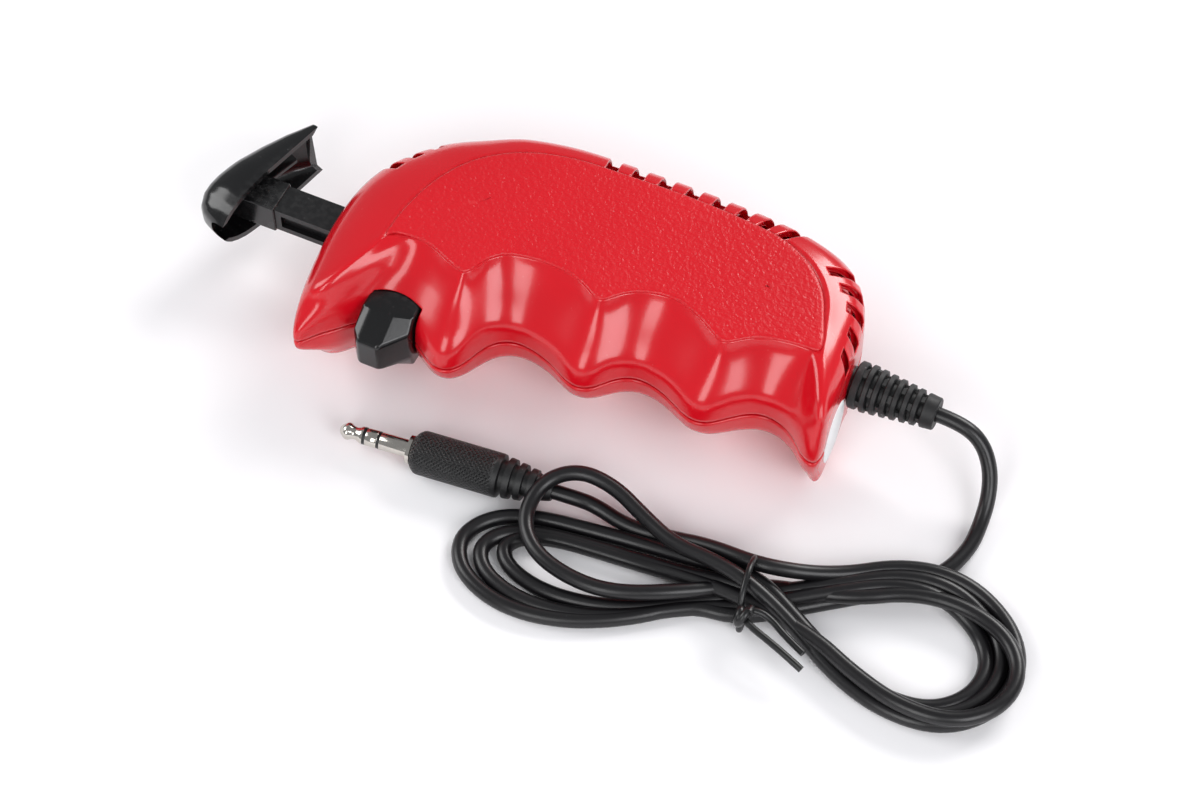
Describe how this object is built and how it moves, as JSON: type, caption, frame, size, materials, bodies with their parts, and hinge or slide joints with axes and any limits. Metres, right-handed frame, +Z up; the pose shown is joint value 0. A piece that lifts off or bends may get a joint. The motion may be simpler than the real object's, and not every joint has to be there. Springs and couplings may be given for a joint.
{
  "type": "slot car hand controller",
  "caption": "Hand-held slot-car speed controller: sprung thumb plunger, push button in the first finger groove, two-part grip and a tied cord with a moulded 3.5 mm plug.",
  "frame": {"origin": "centre of the base of the object without its cord, on the surface that it lies on", "axes": "+X along the plunger and the spine, from the thumb cap to the cord's strain relief; +Y from the finger grooves to the spine; +Z up, from the lower shell's panel to the upper one's"},
  "size_m": [0.1829, 0.0897, 0.03],
  "materials": {
    "red_plastic": "moulded gloss, fine grain on the raised panel",
    "black_plastic": "moulded gloss black",
    "rod_plastic": "satin black, lightly scuffed from sliding",
    "screw_steel": "zinc plated",
    "ceramic": "unglazed white ceramic",
    "resistance_wire": "close-wound bare wire",
    "brass": "stamped strip",
    "spring_steel": "drawn wire",
    "boot_rubber": "matte flexible PVC",
    "label_paper": "blank white label",
    "cord_pvc": "satin black PVC",
    "tie_pvc": "satin black twist tie",
    "barrel_pvc": "satin black with a fine diamond texture",
    "plug_nickel": "nickel plated, polished",
    "plug_insulator": "black"
  },
  "bodies": {
    "housing": {"upper_shell": "red_plastic", "lower_shell": "red_plastic", "shell_screw_1": "screw_steel", "shell_screw_2": "screw_steel", "shell_screw_3": "screw_steel", "shell_screw_4": "screw_steel", "shell_screw_5": "screw_steel", "resistor_former": "ceramic", "resistor_winding": "resistance_wire", "terminal_front": "brass", "terminal_rear": "brass", "strain_relief": "boot_rubber", "end_label": "label_paper", "cord_inner": "cord_pvc", "cord_lead": "cord_pvc", "cord_tail": "cord_pvc", "cord_hank": "cord_pvc", "hank_tie": "tie_pvc", "plug_tip": "plug_nickel", "plug_insulator_front": "plug_insulator", "plug_insulator_rear": "plug_insulator", "plug_ring": "plug_nickel", "plug_sleeve": "plug_nickel", "plug_barrel": "barrel_pvc", "plunger_spring": "spring_steel", "button_spring": "spring_steel"},
    "plunger": {"plunger_rod": "rod_plastic", "thumb_cap": "black_plastic", "wiper_contact": "brass"},
    "button": {"push_button": "black_plastic", "button_bridge": "brass"}
  },
  "joints": [
    {"name": "plunger_slide", "type": "slide", "parent": "housing", "child": "plunger", "axis": [1, 0, 0], "range_m": [0, 0.011], "stiffness_N_per_m": 180, "springref_m": -0.004, "deforming": ["plunger_spring"]},
    {"name": "button_slide", "type": "slide", "parent": "housing", "child": "button", "axis": [0, 1, 0], "range_m": [0, 0.0024], "stiffness_N_per_m": 300, "springref_m": -0.001, "deforming": ["button_spring"]}
  ]
}
